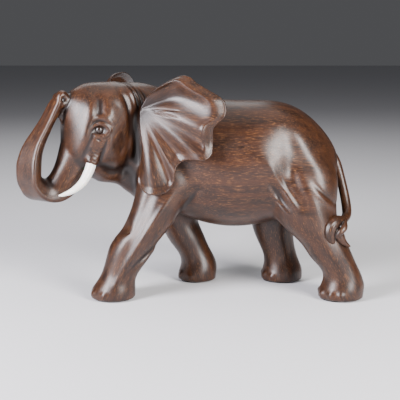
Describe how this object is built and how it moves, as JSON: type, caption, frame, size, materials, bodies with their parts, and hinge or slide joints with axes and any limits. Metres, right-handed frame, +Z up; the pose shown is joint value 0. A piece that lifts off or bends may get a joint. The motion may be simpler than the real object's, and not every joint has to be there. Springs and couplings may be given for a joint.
{
  "type": "carved wooden elephant figurine",
  "caption": "Carved elephant figurine, walking, with its head turned, its trunk raised in a curl, spread ears and pale tusks.",
  "frame": {"origin": "under the middle of the figure's bounding box, on the surface it stands on", "axes": "+X from head to tail, +Y towards the elephant's right side, +Z up"},
  "size_m": [0.2962, 0.1472, 0.1917],
  "materials": {
    "carved_wood": "dark walnut brown stain with a satin lacquer",
    "tusk_white": "white, semi-gloss",
    "eye_bead": "dark brown, glossy",
    "foot_pad": "black, matt",
    "dowel_wood": "plain unfinished hardwood"
  },
  "bodies": {
    "root": {"torso": "carved_wood", "head": "carved_wood", "trunk": "carved_wood", "ear_left": "carved_wood", "ear_right": "carved_wood", "leg_front_left": "carved_wood", "leg_front_right": "carved_wood", "leg_rear_left": "carved_wood", "leg_rear_right": "carved_wood", "tail": "carved_wood", "tusk_left": "tusk_white", "tusk_right": "tusk_white", "eye_left": "eye_bead", "eye_right": "eye_bead", "foot_pad_front_left": "foot_pad", "foot_pad_front_right": "foot_pad", "foot_pad_rear_left": "foot_pad", "foot_pad_rear_right": "foot_pad", "leg_dowels": "dowel_wood", "neck_dowels": "dowel_wood", "trunk_dowel": "dowel_wood"}
  },
  "joints": []
}
